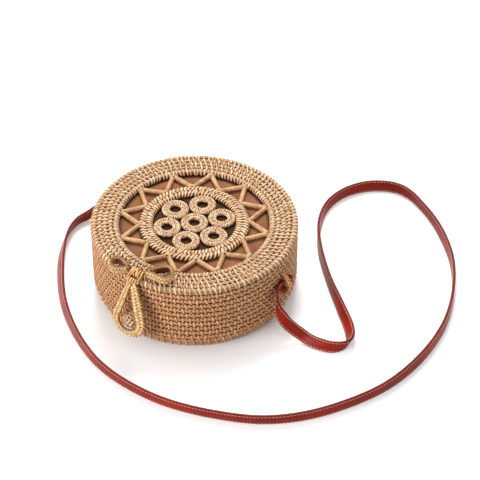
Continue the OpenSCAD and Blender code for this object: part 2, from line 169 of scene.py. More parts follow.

# Strands: light, middle and dark colour, roughness, and how dark and how narrow the painted shade
# along their edges is
STRAND_LOOKS = {
    "side_strand": ((0.92, 0.54, 0.27), (0.64, 0.31, 0.13), (0.16, 0.042, 0.012), 0.5, 0.9, 3.0),
    "top_strand": ((0.94, 0.69, 0.42), (0.61, 0.37, 0.19), (0.15, 0.043, 0.013), 0.5, 1.0, 3.0),
    "plait_strand": ((1.0, 0.71, 0.345), (0.7, 0.37, 0.125), (0.15, 0.036, 0.007), 0.42, 1.0, 2.1),
    "knot_strand": ((0.96, 0.56, 0.21), (0.66, 0.28, 0.07), (0.11, 0.026, 0.006), 0.42, 1.0, 2.1),
    "faded_plait": ((1.0, 0.70, 0.39), (0.68, 0.39, 0.18), (0.15, 0.036, 0.009), 0.45, 1.0, 2.1),
    "straw_strand": ((1.0, 0.78, 0.46), (0.68, 0.42, 0.18), (0.08, 0.022, 0.006), 0.42, 1.0, 1.9),
    "disc_strand": ((0.98, 0.73, 0.45), (0.84, 0.54, 0.29), (0.26, 0.09, 0.03), 0.5, 0.7, 3.0),
    # dark red colour and painted shade, for the ribbons inside the bow loops
    "inside_strand": ((0.25, 0.07, 0.02), (0.12, 0.028, 0.009), (0.03, 0.008, 0.003), 0.5, 0.6,
                      3.0),
}
PATCH_CAST = (0.94, 0.80, 0.74)
STRAND_HALF = 0.002         # metres, half the width over which the fibres of a strand are drawn
FIBRE_R = 0.09              # metres, the radius at which a coil's fibres are drawn to scale
FIBRE_STRETCH = 0.08        # fibres are this share as dense along a coil as across it

# Cores of the coils: light and middle colour, and that of the painted shade in their grooves
WALL_LOOK = (0.86, 0.475, 0.22), (0.58, 0.27, 0.11), (0.14, 0.042, 0.014)
FLOOR_LOOK = (0.86, 0.475, 0.22), (0.58, 0.27, 0.11), (0.045, 0.013, 0.006)
RING_LOOK = (0.78, 0.52, 0.29), (0.52, 0.29, 0.14), (0.10, 0.03, 0.01)
INNER_LOOK = (0.58, 0.27, 0.11), (0.26, 0.10, 0.04), (0.09, 0.027, 0.01)
RING_TEETH = 100
CORE_ROWS = 4               # bundled strands drawn across a coil


# Camera

def make_camera():
    data = bpy.data.cameras.new("camera")
    data.sensor_width = SENSOR
    data.lens = SENSOR * FOCAL_PX / PHOTO_PX
    data.clip_end = CAMERA_FAR
    cam = bpy.data.objects.new("camera", data)
    bpy.context.collection.objects.link(cam)
    cam.location = Vector(CAMERA_EYE) * MM
    aim(cam, Vector(CAMERA_TARGET) * MM)
    bpy.context.scene.camera = cam


def aim(obj, target):
    obj.rotation_euler = (Vector(target) - obj.location).to_track_quat("-Z", "Y").to_euler()


# Materials

def grey(value):
    return (value, value, value)


class Graph:
    """A node graph, written as short calls."""

    def __init__(self, tree):
        self.tree = tree

    def put(self, value, socket):
        if isinstance(value, bpy.types.NodeSocket):
            self.tree.links.new(value, socket)
        else:
            socket.default_value = value

    def node(self, kind, *values, **settings):
        made = self.tree.nodes.new(kind)
        for key, value in settings.items():
            setattr(made, key, value)
        for value, socket in zip(values, made.inputs):
            self.put(value, socket)
        return made

    def math(self, operation, a, b=0.0):
        return self.node("ShaderNodeMath", a, b, operation=operation).outputs[0]

    def plus(self, a, b):
        return self.math("ADD", a, b)

    def minus(self, a, b):
        return self.math("SUBTRACT", a, b)

    def times(self, a, b):
        return self.math("MULTIPLY", a, b)

    def most(self, a, b):
        return self.math("MAXIMUM", a, b)

    def blend(self, a, b, share):
        """a and b added in the shares share and 1 - share."""
        return self.plus(self.times(a, share), self.times(b, 1 - share))

    def place(self):
        """The point in the part's own frame, in metres."""
        return self.node("ShaderNodeTexCoord").outputs["Object"]

    def split(self, vector):
        return self.node("ShaderNodeSeparateXYZ", vector).outputs

    def join(self, x, y, z):
        return self.node("ShaderNodeCombineXYZ", x, y, z).outputs[0]

    def attribute(self, name):
        return self.node("ShaderNodeAttribute", attribute_name=name).outputs

    def noise(self, vector, scale, detail=3.0, roughness=0.6):
        made = self.node("ShaderNodeTexNoise")
        for key, value in (("Vector", vector), ("Scale", scale), ("Detail", detail),
                           ("Roughness", roughness)):
            self.put(value, made.inputs[key])
        return made.outputs[0]

    def ramp(self, value, *stops):
        made = self.node("ShaderNodeValToRGB", value)
        line = made.color_ramp
        while len(line.elements) < len(stops):
            line.elements.new(0.5)
        for element, (at, colour) in zip(line.elements, stops):
            element.position = at
            element.color = (*colour, 1.0)
        return made.outputs[0]

    def level(self, value, low, high):
        """value stretched so that low gives 0 and high gives 1, held within these."""
        return self.node("ShaderNodeMapRange", value, low, high, 0.0, 1.0).outputs[0]

    def mix(self, share, a, b, blend="MIX"):
        made = self.node("ShaderNodeMix", share, data_type="RGBA", blend_type=blend)
        for value, socket in ((a, made.inputs[6]), (b, made.inputs[7])):
            self.put(value if isinstance(value, bpy.types.NodeSocket) else (*value, 1.0), socket)
        return made.outputs[2]

    def around(self, centre=(0.0, 0.0)):
        """(angle round an upright axis, distance from it, height), the last two in metres."""
        x, y, z = self.split(self.place())
        x, y = self.minus(x, centre[0]), self.minus(y, centre[1])
        out = self.math("SQRT", self.plus(self.times(x, x), self.times(y, y)))
        return self.math("ARCTAN2", y, x), out, z

    def seen_ray(self):
        """1 where a camera, a mirror or a clear piece sees this, and 0 for its light on others."""
        ray = self.node("ShaderNodeLightPath").outputs
        others = self.most(ray["Is Glossy Ray"], ray["Is Transmission Ray"])
        return self.most(ray["Is Camera Ray"], others)


class Shader(Graph):
    """A material's graph."""

    def __init__(self, name, roughness, specular):
        self.mat = bpy.data.materials.new(name)
        self.mat.use_nodes = True
        super().__init__(self.mat.node_tree)
        self.bsdf = self.tree.nodes["Principled BSDF"]
        self.bsdf.inputs["Roughness"].default_value = roughness
        self.bsdf.inputs["Specular IOR Level"].default_value = specular

    def finish(self, colour, height=None, distance=0.0003, strength=0.8):
        self.put(colour, self.bsdf.inputs["Base Color"])
        if height is not None:
            bump = self.node("ShaderNodeBump")
            for key, value in (("Strength", strength), ("Distance", distance), ("Height", height)):
                self.put(value, bump.inputs[key])
            self.put(bump.outputs[0], self.bsdf.inputs["Normal"])
        return self.mat


def strand_material(name, light, middle, dark, roughness, edge_shade_share, edge_shade_power):
    """A strand of split cane: long fibres, a tint of its own, redder patches and painted shade
    along its edges.
    """
    s = Shader(name, roughness, 0.35)
    tint = s.attribute("tint")["Fac"]
    along, across, _ = s.split(s.attribute("strand")["Vector"])
    fibres = s.noise(s.join(s.times(along, 0.06), across, tint), 900.0)
    blotch = s.noise(s.place(), 160.0)
    colour = s.ramp(s.blend(tint, blotch, 0.45), (0.2, middle), (0.62, light))
    patch = s.noise(s.join(tint, along, tint), 60.0, 2.0, 0.5)
    colour = s.mix(s.level(patch, 0.45, 0.6), colour, PATCH_CAST, "MULTIPLY")
    # painted shade along both edges of the strand
    edge = s.math("POWER", s.attribute("edge")["Fac"], edge_shade_power)
    colour = s.mix(s.times(edge, edge_shade_share), colour, dark)
    colour = s.mix(s.times(s.level(fibres, 0.42, 0.72), 0.22), colour, dark)
    return s.finish(colour, fibres, 0.00012, 0.6)


def coil_material(name, light, middle, gap_shade, centre, step, across_z=False, groove_at=(0.36, 0.6),
                  rim=None, teeth=0):
    """The core of sewn coils: bundled fine strands, with painted shade between the strands and in
    the grooves between the coils.

    The coils lie a step apart from centre on, in height or else in distance from the axis.
    groove_at gives the shares of half a coil at which the painted shade of a groove starts and is
    darkest. Beyond the distance rim this painted shade is half as dark. teeth is the number of
    stitches all the way round, which leave dark gaps of painted shade that narrow to one side and
    lie half a stitch apart in every other groove.
    """
    s = Shader(name, 0.6, 0.3)
    angle, out, z = s.around()
    across = z if across_z else out
    coils = s.math("DIVIDE", s.minus(across, centre * MM), step * MM)
    share = s.math("FRACT", coils)
    groove = s.times(s.math("ABSOLUTE", s.minus(share, 0.5)), 2.0)
    strands = s.math("SINE", s.times(share, TAU * CORE_ROWS))
    fibres = s.noise(s.join(s.times(angle, FIBRE_R * FIBRE_STRETCH), across, 0.0), 1400.0)
    blotch = s.noise(s.place(), 120.0)
    colour = s.ramp(s.blend(fibres, blotch, 0.5), (0.35, middle), (0.62, light))
    # painted shade between the bundled strands of a coil
    colour = s.mix(s.times(s.level(s.times(strands, -1.0), 0.2, 1.0), 0.45), colour, gap_shade)
    if teeth:
        shift = s.times(s.math("FLOOR", s.plus(coils, 0.5)), 0.5)
        tooth = s.math("FRACT", s.plus(s.times(angle, teeth / TAU), shift))
        groove = s.minus(groove, s.times(s.minus(tooth, 0.4), 0.42))
    # painted shade in the grooves between the coils
    dark = s.level(groove, *groove_at)
    if rim:
        dark = s.times(dark, s.most(s.level(out, rim * MM, (rim - 1) * MM), 0.5))
    colour = s.mix(dark, colour, gap_shade)
    return s.finish(colour, s.plus(s.times(strands, 0.5), fibres))


def speckle_material():
    """Ground of the rosette discs: straw with painted shade in small gaps among its turns."""
    s = Shader("disc_core", 0.6, 0.3)
    spots = s.noise(s.place(), 620.0, 2.0)
    blotch = s.noise(s.place(), 150.0)
    colour = s.ramp(blotch, (0.4, (0.62, 0.40, 0.23)), (0.6, (0.86, 0.63, 0.41)))
    # painted shade: near-black spots for the small gaps
    colour = s.mix(s.level(spots, 0.49, 0.46), colour, (0.045, 0.016, 0.007))
    return s.finish(colour, spots)


def cane_material():
    """Bare cane with fine ribs round it."""
    s = Shader("cane", 0.38, 0.5)
    rings = s.noise(s.place(), 300.0, 2.0, 0.5)
    blotch = s.noise(s.place(), 60.0)
    colour = s.ramp(s.blend(rings, blotch, 0.45), (0.36, (0.36, 0.165, 0.055)),
                    (0.5, (0.57, 0.32, 0.135)), (0.64, (0.72, 0.45, 0.22)))
    along = s.split(s.attribute("strand")["Vector"])[0]
    rib_step = 0.0016
    ribs = s.math("SINE", s.times(along, TAU / rib_step))
    colour = s.mix(s.times(s.level(ribs, 0.3, 1.0), 0.3), colour, (0.34, 0.15, 0.06))
    return s.finish(colour, s.minus(rings, s.times(ribs, 0.4)), 0.00025, 0.6)


def lining_material(name, painted_shade=False):
    """Brown cloth. Under the open work its upper face has painted shade beside and between the
    rings and under the discs.
    """
    s = Shader(name, 0.9, 0.2)
    nap = s.noise(s.place(), 2600.0, roughness=0.7)
    blotch = s.noise(s.place(), 45.0, 4.0)
    colour = s.ramp(s.blend(nap, blotch, 0.3),
                    (0.35, (0.230, 0.090, 0.042)), (0.65, (0.370, 0.158, 0.078)))
    if painted_shade:
        # painted shade on the upper face: beside the rings and under the discs, where they shade
        # the lining
        _, out, z = s.around()
        by_ring = s.level(out, 0.069, 0.073)
        by_inner = s.times(s.level(out, 0.0575, 0.0535), 0.7)
        by_discs = s.times(s.level(out, 0.046, 0.042), 0.85)
        dark = s.most(s.times(s.most(by_ring, by_inner), 0.9), by_discs)
        upper = s.level(z, LID_LINING_Z * MM, (LID_LINING_Z + 0.2) * MM)
        colour = s.mix(s.times(dark, upper), colour, (0.030, 0.011, 0.005))
    return s.finish(colour, nap, 0.0002, 0.6)


def leather_material():
    """Red leather, duller along the edges."""
    s = Shader("leather", 0.32, 0.15)
    across = s.attribute("edge")["Fac"]
    grain = s.noise(s.place(), 1500.0, 4.0)
    blotch = s.noise(s.place(), 40.0)
    colour = s.ramp(s.blend(grain, blotch, 0.35),
                    (0.36, (0.190, 0.009, 0.004)), (0.6, (0.330, 0.017, 0.006)))
    colour = s.mix(s.times(s.level(across, 0.86, 0.97), 0.6), colour, (0.110, 0.012, 0.006))
    return s.finish(colour, grain, 0.0002, 0.5)


def thread_material():
    s = Shader("thread", 0.7, 0.3)
    twist = s.noise(s.place(), 2500.0, 2.0, 0.5)
    colour = s.ramp(twist, (0.3, (0.55, 0.30, 0.20)), (0.7, (0.78, 0.52, 0.38)))
    return s.finish(colour, twist, 0.0001, 0.5)


def floor_material():
    """White floor that glows for the camera as painted light, which lifts the object's shadow.
    Round the foot, off towards the side where the shadow falls, the glow is left out so that the
    shadow shows, and farther off the floor fades to plain white.
    """
    s = Shader("floor", 0.9, 0.0)
    seen = s.seen_ray()
    plain = s.ramp(s.noise(s.place(), 30.0, 2.0, 0.5), (0.3, grey(0.60)), (0.7, grey(0.61)))
    from_shadow, from_axis = s.around(SHADOW_MID)[1], s.around()[1]
    # painted light: a glow that lifts the shadow, none round the foot on the shadow's side
    glow = s.mix(s.level(from_shadow, *SHADOW_AT), grey(0.0), grey(SHADOW_GLOW))
    glow = s.mix(s.level(from_axis, *WHITE_AT), glow, grey(1.0))
    s.put(s.mix(seen, grey(0.0), glow), s.bsdf.inputs["Emission Color"])
    s.bsdf.inputs["Emission Strength"].default_value = 1.0
    return s.finish(s.mix(seen, plain, grey(1.0)))


# Meshes

def unit(v):
    v = np.asarray(v, float)
    return v / np.maximum(np.linalg.norm(v, axis=-1, keepdims=True), 1e-9)


def square(wide, t):
    """The directions wide turned square to the directions t."""
    return unit(wide - (wide * t).sum(1, keepdims=True) * t)


def polar(r, angle, z=0.0):
    return np.array([r * math.cos(angle), r * math.sin(angle), z])


def full_turn(n):
    return np.linspace(0, TAU, n + 1)[:-1]


def circle(centre, u, v, a, r_u, r_v=None):
    """Points at the angles a of an oval round centre, with radius r_u along u and r_v along v."""
    r_v = r_u if r_v is None else r_v
    return centre + np.multiply.outer(r_u * np.cos(a), u) + np.multiply.outer(r_v * np.sin(a), v)


def run_of(path):
    """Length along path at each of its points."""
    return np.concatenate([[0], np.cumsum(np.linalg.norm(np.diff(path, axis=0), axis=1))])


def at_lengths(s, run, values):
    return np.stack([np.interp(s, run, values[:, k]) for k in range(3)], 1)


def resample(path, step):
    """path with even steps, and the length along it at each point."""
    run = run_of(path)
    s = np.linspace(0, run[-1], max(4, int(run[-1] / step)) + 1)
    return at_lengths(s, run, path), s


def piece(name, points, faces, body, material, facts, replaces=()):
    """A smooth mesh that rides on a body, with float or vector point facts."""
    mesh = bpy.data.meshes.new(name)
    mesh.from_pydata((points * MM).tolist(), [], faces)
    mesh.polygons.foreach_set("use_smooth", [True] * len(mesh.polygons))
    for key, values in facts.items():
        values = np.asarray(values, np.float32)
        kind, field = ("FLOAT", "value") if values.ndim == 1 else ("FLOAT_VECTOR", "vector")
        mesh.attributes.new(key, kind, "POINT").data.foreach_set(field, values.ravel())
    mesh.materials.append(material)
    mesh.update()
    obj = bpy.data.objects.new(name, mesh)
    bpy.context.collection.objects.link(obj)
    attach(obj, body)
    if replaces:
        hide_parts(*replaces)
    return obj


def grid_faces(rows, cols, first=0, wrap_rows=False, wrap_cols=False):
    """Four-sided faces of a grid of points, rows by cols, numbered from first."""
    r = np.arange(rows if wrap_rows else rows - 1)
    c = np.arange(cols if wrap_cols else cols - 1)
    r, c = [g.ravel() for g in np.meshgrid(r, c, indexing="ij")]
    r2, c2 = (r + 1) % rows, (c + 1) % cols
    return first + np.stack([r * cols + c, r2 * cols + c, r2 * cols + c2, r * cols + c2], 1)


def tube_grid(path, wide, half_w, half_t, sides, closed):
    """Rings of an oval tube along path: wide is the direction of its width."""
    t = unit(np.roll(path, -1, 0) - np.roll(path, 1, 0) if closed else np.gradient(path, axis=0))
    w = square(np.broadcast_to(wide, path.shape), t)
    n = np.cross(t, w)
    a = full_turn(sides)[None, :, None]
    half_w, half_t = (np.broadcast_to(half, len(path))[:, None, None] for half in (half_w, half_t))
    return path[:, None] + half_w * np.cos(a) * w[:, None] + half_t * np.sin(a) * n[:, None]


class Strands:
    """Many strands gathered into one mesh, each with its own tint."""

    def __init__(self):
        self.points, self.faces, self.tint, self.strand, self.edge = [], [], [], [], []
        self.count = 0

    def add(self, grid, edge, wrap_rows=False, wrap_cols=False):
        """grid holds points, along by across by three, and edge is how much painted shade each
        column takes.
        """
        rows, cols, _ = grid.shape
        self.faces.append(grid_faces(rows, cols, self.count, wrap_rows, wrap_cols))
        self.points.append(grid.reshape(-1, 3))
        self.tint.append(np.full(rows * cols, rng.uniform(0, 1)))
        along, across = np.meshgrid(run_of(grid[:, 0]) * MM, np.broadcast_to(edge, cols),
                                    indexing="ij")
        drawn = np.stack([along, across * STRAND_HALF, np.zeros_like(along)], -1)
        self.strand.append(drawn.reshape(-1, 3))
        self.edge.append(np.abs(across).ravel())
        self.count += rows * cols

    def tube(self, path, wide, half_w, half_t, sides=8, closed=False, edge=None):
        """An oval strand, with painted shade at both ends of its width unless edge says otherwise.
        """
        if edge is None:
            edge = np.abs(np.cos(full_turn(sides)))
        self.add(tube_grid(path, wide, half_w, half_t, sides, closed), edge, closed, True)

    def piece(self, name, body, material, replaces=(), slot=None):
        facts = {"tint": self.tint, "strand": self.strand, "edge": self.edge}
        return piece(name, np.concatenate(self.points), np.concatenate(self.faces).tolist(), body,
                     material, {key: np.concatenate(parts) for key, parts in facts.items()},
                     replaces)


def stitch_row(strands, centre, profile, pitch, width, slant, phase, swell, cols=5, taper=0.25,
               loose=1.0, sides=(1.0, 1.0)):
    """Stitches all the way round the Z axis over a coil.

    centre is (distance from the axis, height), and profile the stitch's middle line as offsets
    from it. The stitches lie a pitch apart, phase of a pitch further round, are width wide, lean
    by slant and taper to their ends. Their edges lie swell below their middle, loose is how
    unevenly they lie, and sides says how dark the painted shade on their two edges is.
    """
    r0, z0 = centre
    count = max(6, round(TAU * r0 / pitch))
    length = run_of(profile)
    length -= length[-1] / 2
    s = np.linspace(-1, 1, cols)
    narrow = 1 - taper * np.abs(length / length[-1]) ** 3
    edge = np.where(s < 0, -s * sides[0], s * sides[1])
    sunk = profile[:, None] - unit(profile)[:, None] * (swell * s * s)[:, None]
    r, z = r0 + sunk[..., 0], z0 + sunk[..., 1]
    for k in range(count):
        jitter = rng.normal(0, 0.05 * loose)
        lean = slant + rng.normal(0, 0.09 * loose)
        wide = width * rng.uniform(0.88, 1.1)
        shift = lean * length[:, None] + 0.5 * wide * narrow[:, None] * s
        angle = TAU * (k + phase + jitter) / count + shift / r0
        strands.add(np.stack([r * np.cos(angle), r * np.sin(angle), z], -1), edge)


def bridge(way, radius, span, reach, steps=9, back=None):
    """Profile of a stitch that crosses a coil and hooks into both neighbours.

    way is the coil's outward direction in degrees in the plane of (distance, height). radius is
    the height of the arch over the coil's middle, and span half its width. The stitch runs from
    -reach to reach, or only to back, and then its last point is sunk into the coil.
    """
    x = np.linspace(-reach, reach if back is None else back, steps)
    h = radius * np.sqrt(np.maximum(0, 1 - (x / span) ** 2))
    if back is not None:
        h[-1] = 0.4 * radius
    a = math.radians(way)
    return h[:, None] * [math.cos(a), math.sin(a)] + x[:, None] * [-math.sin(a), math.cos(a)]


def wrap(a0, a1, radius, tuck=0.9):
    """Profile of a wrapping that follows a coil from angle a0 to a1, tucked in at both ends."""
    a = np.radians(np.linspace(a0, a1, 14))
    r = np.full(len(a), radius)
    r[[0, -1]] -= tuck
    return np.stack([r * np.cos(a), r * np.sin(a)], 1)


def braid(strands, path, wide, width, thick, pitch, phase=0.0):
    """A flat plait along path.

    wide is the direction of its width, or a function that gives it. width and thick may be lists
    spread over the path.
    """
    path, s = resample(path, pitch / 14)
    t = unit(np.gradient(path, axis=0))
    wide = square(wide(path) if callable(wide) else np.broadcast_to(wide, path.shape), t)
    out = np.cross(t, wide)

    def spread(size):
        size = np.atleast_1d(size)
        return np.interp(s / s[-1], np.linspace(0, 1, len(size)), size)

    width, thick = spread(width), spread(thick)
    # the core, all in the dark colour: painted shade between the strands
    strands.tube(path, wide, PLAIT_CORE[0] * width, PLAIT_CORE[1] * thick, edge=1.0)
    half_w, half_t = PLAIT_STRAND[0] * width, PLAIT_STRAND[1] * thick
    for k in range(PLAIT_COUNT):
        a = TAU * s / pitch + phase + TAU * k / PLAIT_COUNT
        side = (width / 2 - half_w) * np.sin(a)
        lift = (thick / 2 - half_t) * np.sin(2 * a)
        strands.tube(path + side[:, None] * wide + lift[:, None] * out, wide, half_w, half_t)


# Strap

def strap_stations():
    """Middle line of the strap and its tilt, by the same curve as the part's source."""
    last = len(STRAP_ROUTE) - 1
    stops = []
    for i in range(last):
        a, b, c, d = (STRAP_ROUTE[max(0, min(last, i + k))] for k in (-1, 0, 1, 2))
        for k in range(STRAP_FILL + 1):
            f = k / (STRAP_FILL + 1)
            stops.append((2 * b + (c - a) * f + (2 * a - 5 * b + 4 * c - d) * f * f
                          + (3 * b - a - 3 * c + d) * f ** 3) / 2)
    stops.append(STRAP_ROUTE[last])
    x, y, turn, lift = np.array(stops).T
    tilt = np.radians(turn)
    low = STRAP_W / 2 * np.abs(np.sin(tilt)) + STRAP_T / 2 * np.abs(np.cos(tilt))
    return np.stack([x, y, low + np.maximum(0, lift)], 1), tilt


def ribbon_frame(line, tilt):
    """Directions of the strap's width and thickness along its line."""
    t = np.empty_like(line)
    t[1:-1] = unit(line[2:] - line[:-2])
    t[0] = t[-1] = -Y
    flat = unit(np.stack([-t[:, 1], t[:, 0], np.zeros(len(t))], 1))
    w = square(flat * np.cos(tilt)[:, None] + UP * np.sin(tilt)[:, None], t)
    return w, np.cross(t, w)


def strap_section():
    """Outline of the strap: soft edges, a groove under each seam and a low crown."""
    w, t = STRAP_W / 2, STRAP_T / 2
    seam, inner, outer = w - SEAM_IN, 0.45, 0.35
    soft, bulge, crown = 0.55, 0.15, 1.04
    right = [(seam - inner, t), (seam, t * SEAM_SHARE), (seam + outer, t), (w - soft, t)]
    top = [(-x, y) for x, y in reversed(right)] + [(0, t * crown)] + right
    side = [(w - bulge, t * 0.7), (w, 0), (w - bulge, -t * 0.7)]
    low = [(x, -y) for x, y in reversed(top)]
    return np.array(top + side + low + [(-x, -y) for x, y in side])


def ribbon(name, line, w, n, leather, node):
    """A length of the strap's leather, closed at both ends."""
    section = strap_section()
    rings = line[:, None] + section[:, :1] * w[:, None] + section[:, 1:] * n[:, None]
    rows, cols = len(line), len(section)
    faces = grid_faces(rows, cols, wrap_cols=True)[:, ::-1].tolist()
    faces += [list(range(cols)), list(range(rows * cols - 1, (rows - 1) * cols - 1, -1))]
    edge = np.tile(np.abs(section[:, 0]) / (STRAP_W / 2), rows)
    return piece(name, rings.reshape(-1, 3), faces, "drum", leather, {"edge": edge}, [node])


def strap_threads(name, line, w, n, thread):
    """Stitches along both edges, on both faces."""
    run = run_of(line)
    strands = Strands()
    for i in range(int(run[-1] / THREAD_PITCH)):
        s = (i + 0.5) * THREAD_PITCH + np.linspace(-0.5, 0.5, len(THREAD_RISE)) * THREAD_LENGTH
        mid, wide, out = (at_lengths(s, run, values) for values in (line, w, n))
        for side in (-1, 1):
            for face in (-1, 1):
                rise = face * THREAD_RISE
                path = mid + side * (STRAP_W / 2 - SEAM_IN) * wide + rise[:, None] * out
                strands.tube(path, wide, *THREAD, 6)
    return strands.piece(name, "drum", thread)


def make_strap(leather, thread):
    line, tilt = strap_stations()
    w, n = ribbon_frame(line, tilt)
    strap = ribbon("strap_leather", line, w, n, leather, "strap")
    stitches = strap_threads("strap_stitches", line, w, n, thread)
    length = float(run_of(line)[-1] * MM)
    ends = make_strap_end(1, "right", leather, thread)
    ends += make_strap_end(-1, "left", leather, thread)


def make_strap_end(side, name, leather, thread):
    """The doubled end behind a lug: in through the lug, round the fold and back to the lug."""
    start, turn, stop = -8, 6, 3.3      # where it starts, folds and ends, along Y
    fold = STRAP_T
    run = [[STRAP_END_X, y, LUG_H] for y in np.linspace(start, turn, 12)]
    bend = circle([STRAP_END_X + fold, turn, LUG_H], -X, Y, np.linspace(0, math.pi, 14)[1:], fold)
    back = [[STRAP_END_X + 2 * fold, y, LUG_H] for y in np.linspace(turn, stop, 4)[1:]]
    line = np.concatenate([run, bend, back])
    t = unit(np.gradient(line, axis=0))
    t[0] = Y
    w = np.tile(UP, (len(line), 1))
    n = np.cross(t, w)
    if side < 0:
        line, n = line * [-1, -1, 1], n * [-1, -1, 1]
    return [ribbon("strap_fold_" + name, line, w, n, leather, "strap_end_" + name),
            strap_threads("strap_fold_" + name + "_stitches", line, w, n, thread)]


# Woven parts

def dress(node, material):
    data = nodes[node].data
    data.materials.clear()
    data.materials.append(material)


def make_drum(strand, core_wall, core_floor):
    dress("base_wall", core_wall)
    dress("base_floor", core_floor)
    wall = Strands()
    off_ground = 0.3        # the lowest stitches end this high
    for i in range(WALL_ROWS):
        r = MID_R - (FOOT_IN[i] if i < len(FOOT_IN) else 0)
        z = (i + 0.5) * ROW_STEP
        profile = bridge(reach=4.0, **WALL_ARCH)
        profile[:, 1] = np.maximum(profile[:, 1], off_ground - z)
        stitch_row(wall, (r, z), profile, phase=0.5 * (i % 2), **WALL_STITCH)
    wall.piece("drum_stitches", "drum", strand, slot="rattan")
    under = Strands()
    for i in range(FLOOR_RINGS):
        centre = (FLOOR_R - (i + 0.5) * FLOOR_STEP, FLOOR_T / 2 - 0.3)
        stitch_row(under, centre, bridge(**FLOOR_ARCH), phase=0.5 * (i % 2), **FLOOR_STITCH)
    under.piece("floor_stitches", "drum", strand, slot="rattan")


def make_lid(strand, pale, core_wall, core_top, core_inner):
    dress("lid_wall", core_wall)
    dress("lid_ring", core_top)
    dress("inner_ring", core_inner)
    side = Strands()
    for i in range(LID_ROWS):
        stitch_row(side, (MID_R, LID_Z + (i + 0.5) * LID_STEP), bridge(reach=3.6, **WALL_ARCH),
                   phase=0.5 * (i % 2), **WALL_STITCH)
    side.piece("lid_side_stitches", "lid", strand, slot="rattan")

    top = Strands()
    for j in range(RING_COILS):
        if j == 0:
            profile, stitch = wrap(**RING_FIRST_WRAP), RING_FIRST
        elif j == RING_COILS - 1:
            profile, stitch = wrap(**RING_LAST_WRAP), RING_LAST
        else:
            profile, stitch = bridge(**RING_ARCH), RING_BRIDGED
        stitch_row(top, (OPENING_R + RING_T / 2 + j * RING_STEP, RING_MID_Z), profile,
                   phase=0.5 * (j % 2), **stitch, **RING_STITCH)
    top.piece("lid_ring_stitches", "lid", pale, slot="pale_rattan")

    # both rows have as many wraps, so that the ends of one row lie between those of the other
    inner = Strands()
    half = (INNER_R - INNER_BORE) / 4
    for j, (way, a0, a1, slant) in enumerate(((1, 60, 262, 0.2), (-1, 120, -82, -0.4))):
        r = INNER_BORE + half * (1 + 2 * j)
        over = [[way * half * x, z] for x, z in ((1.5, 1.3), (1.15, 2.15), (0.8, 2.55))]
        a = np.radians(np.linspace(a0, a1, 13))
        turn = np.stack([(half + 0.35) * np.cos(a), INNER_RISE * np.sin(a)], 1)
        profile = np.concatenate([over, turn])
        pitch = TAU * r / INNER_COUNT
        stitch_row(inner, (r, RING_MID_Z), profile, pitch, INNER_FILL * pitch, slant, 0.5 * j,
                   **INNER_STITCH)
    inner.piece("inner_ring_stitches", "lid", pale, slot="rattan")


def make_rosette(strand, core):
    """Seven discs, each of five rows of small stitches, the last one over the rim."""
    places = {"rosette_centre": np.zeros(3)}
    for i in range(6):
        turn = math.radians(ROSETTE_TURN + 60 * i)
        places["rosette_disc_%d" % (i + 1)] = polar(DISC_D + DISC_GAP, turn)
    half, span, height, sunk = 0.8, 0.85, 0.62, 0.12
    foot = 2.0              # from a stitch's foot to the middle that it is made about
    x = np.linspace(-half, half, 7)
    rise = foot + height * np.sqrt(1 - (x / span) ** 2) - sunk
    for name, place in places.items():
        dress(name, core)
        rows = Strands()
        for k, (r, z, way) in enumerate(DISC_ROWS):
            a = math.radians(way)
            c, s = math.cos(a), math.sin(a)
            profile = rise[:, None] * [c, s] + x[:, None] * [s, -c]
            stitch_row(rows, (r - foot * c, RING_MID_Z + z - foot * s), profile,
                       slant=0.6 if k % 2 else -0.5, phase=rng.uniform(0, 1), **DISC_STITCH)
        # the rows are made about the Z axis and then moved to their disc
        rows.points = [points + place for points in rows.points]
        rows.piece(name + "_stitches", "lid", strand, slot="rattan")


def make_star(cane, pale):
    """Each point of the star is one bent cane. Fine wraps bind its bend and ends to the rings."""
    wraps = Strands()
    half_step = math.pi / STAR_POINTS
    cane_r, uneven = 2.36, 0.07
    inset = 0.3             # from a ring's edge to the end of the cane's middle line
    near = 3.2              # from the tip to where the bend starts
    arc = np.radians(np.linspace(-20, 200, 13))
    # distance from the axis, turn and half width of the wraps at the tip and at an end
    bound = ((OPENING_R - 1.2, 0.0, 3.5), (INNER_R + 0.6, half_step, 3.3))
    for i in range(STAR_POINTS):
        turn = math.radians(STAR_TURN) + 2 * half_step * i
        a, b, c = (polar(r - inset, turn + t, RING_MID_Z)
                   for r, t in ((INNER_R, -half_step), (OPENING_R, 0.0), (INNER_R, half_step)))
        p, q = b + near * unit(a - b), b + near * unit(c - b)
        f = np.linspace(0, 1, 9)[:, None]
        bend = (1 - f) ** 2 * p + 2 * f * (1 - f) * b + f * f * q
        path = np.concatenate([a + (p - a) * np.linspace(0.09, 0.97, 24)[:, None], bend,
                               q + (c - q) * np.linspace(0.03, 0.91, 24)[:, None]])
        path, _ = resample(path, 0.8)
        radius = cane_r + uneven * np.sin(np.arange(len(path)) * 1.3 + i)
        s = Strands()
        s.tube(path, UP, radius, radius, 14, edge=0.0)
        s.piece("star_cane_%d" % (i + 1), "lid", cane, ["star_point_%d" % (i + 1)], "pale_rattan")
        for r, t, half in bound:
            way, across = polar(1, turn + t), polar(1, turn + t + TAU / 4)
            for k in (-1.3, 0.1):
                centre = way * (r + k) + RING_MID_Z * UP
                wraps.tube(circle(centre, across, UP, arc, half, INNER_RISE), way, *BINDING, 6)
    wraps.piece("star_bindings", "lid", pale, slot="pale_rattan")


# Clasp, lugs and hinges

